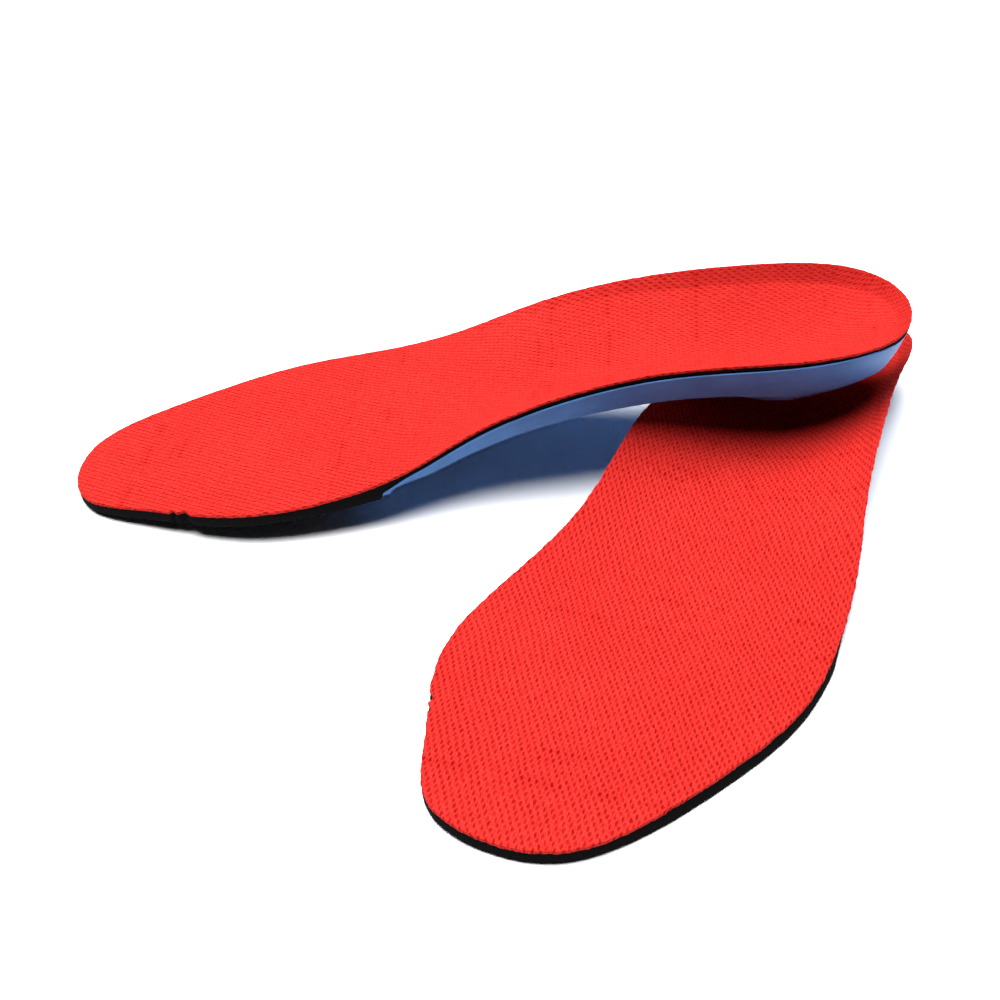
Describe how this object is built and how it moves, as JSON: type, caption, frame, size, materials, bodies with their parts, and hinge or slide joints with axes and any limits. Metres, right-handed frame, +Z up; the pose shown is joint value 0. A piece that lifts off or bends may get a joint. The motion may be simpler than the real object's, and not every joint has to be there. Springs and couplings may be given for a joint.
{
  "type": "cushioned insole pair",
  "caption": "Left and right cushioned arch-support insoles: mesh-knit cover, foam, moulded base shell and heel pad; toes flex, right one leans on the left heel cup.",
  "frame": {"origin": "middle of the underside of the left insole's heel pad, on the surface it stands on", "axes": "+Z up from that surface; the left insole's toe points towards -Y and its inner (arch) side faces -X"},
  "size_m": [0.2355, 0.265, 0.0447],
  "materials": {
    "cover": "matte mesh knit",
    "foam": "matte closed-cell foam",
    "shell": "satin moulded",
    "pad": "matte"
  },
  "bodies": {
    "left_rear": {"left_cover_rear": "cover", "left_foam_rear": "foam", "left_shell": "shell", "left_heel_pad": "pad"},
    "left_forefoot": {"left_cover_front": "cover", "left_foam_front": "foam"},
    "right_rear": {"right_cover_rear": "cover", "right_foam_rear": "foam", "right_shell": "shell", "right_heel_pad": "pad"},
    "right_forefoot": {"right_cover_front": "cover", "right_foam_front": "foam"}
  },
  "joints": [
    {"name": "left_toe_flex", "type": "hinge", "parent": "left_rear", "child": "left_forefoot", "pos_m": [0.00974, -0.15911, 0.0045], "axis": [-0.9829, -0.184, 0], "range_deg": [0, 45], "stiffness_Nm_per_rad": 0.05},
    {"name": "right_insole_lift", "type": "slide", "parent": "left_rear", "child": "right_rear", "axis": [0, 0, 1], "range_m": [0, 0.08]},
    {"name": "right_toe_flex", "type": "hinge", "parent": "right_rear", "child": "right_forefoot", "pos_m": [-0.12096, -0.12091, 0.01184], "axis": [-0.5203, 0.854, 0.0012], "range_deg": [0, 45], "stiffness_Nm_per_rad": 0.05}
  ]
}
